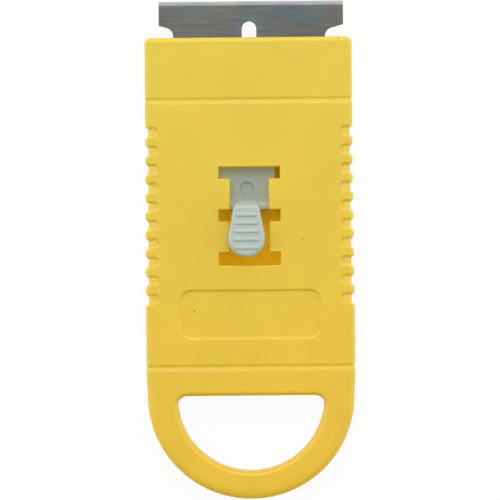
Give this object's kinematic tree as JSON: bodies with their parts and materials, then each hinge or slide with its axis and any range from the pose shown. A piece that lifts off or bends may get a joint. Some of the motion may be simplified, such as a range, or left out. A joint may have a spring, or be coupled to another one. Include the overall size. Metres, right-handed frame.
{
  "type": "razor blade scraper",
  "caption": "Flat hand scraper with a sliding single-edge blade, a thumb latch in a notched window, grip notches along both sides and a handle loop.",
  "frame": {"origin": "centre of the whole object's outline in plan, at the level of the flat back face that it lies on", "axes": "+X to the right across the body, +Y along the body towards the cutting edge, +Z out of the front face with the window"},
  "size_m": [0.044, 0.1052, 0.0108],
  "materials": {
    "yellow_plastic": "moulded, satin",
    "grey_plastic": "moulded, satin",
    "blade_steel": "rolled steel with a ground edge"
  },
  "bodies": {
    "housing": {"front_shell": "yellow_plastic", "rear_shell": "yellow_plastic"},
    "slider": {"carriage": "grey_plastic", "blade": "blade_steel"},
    "latch": {"latch": "grey_plastic"}
  },
  "joints": [
    {"name": "slider_travel", "type": "slide", "parent": "housing", "child": "slider", "axis": [0, 1, 0], "range_m": [-0.01158, 0.00655]},
    {"name": "latch_press", "type": "hinge", "parent": "slider", "child": "latch", "pos_m": [-0.0005, 0.03255, 0.00495], "axis": [1, 0, 0], "range_deg": [0, 2], "stiffness_Nm_per_rad": 0.01, "springref_deg": -3.44}
  ]
}
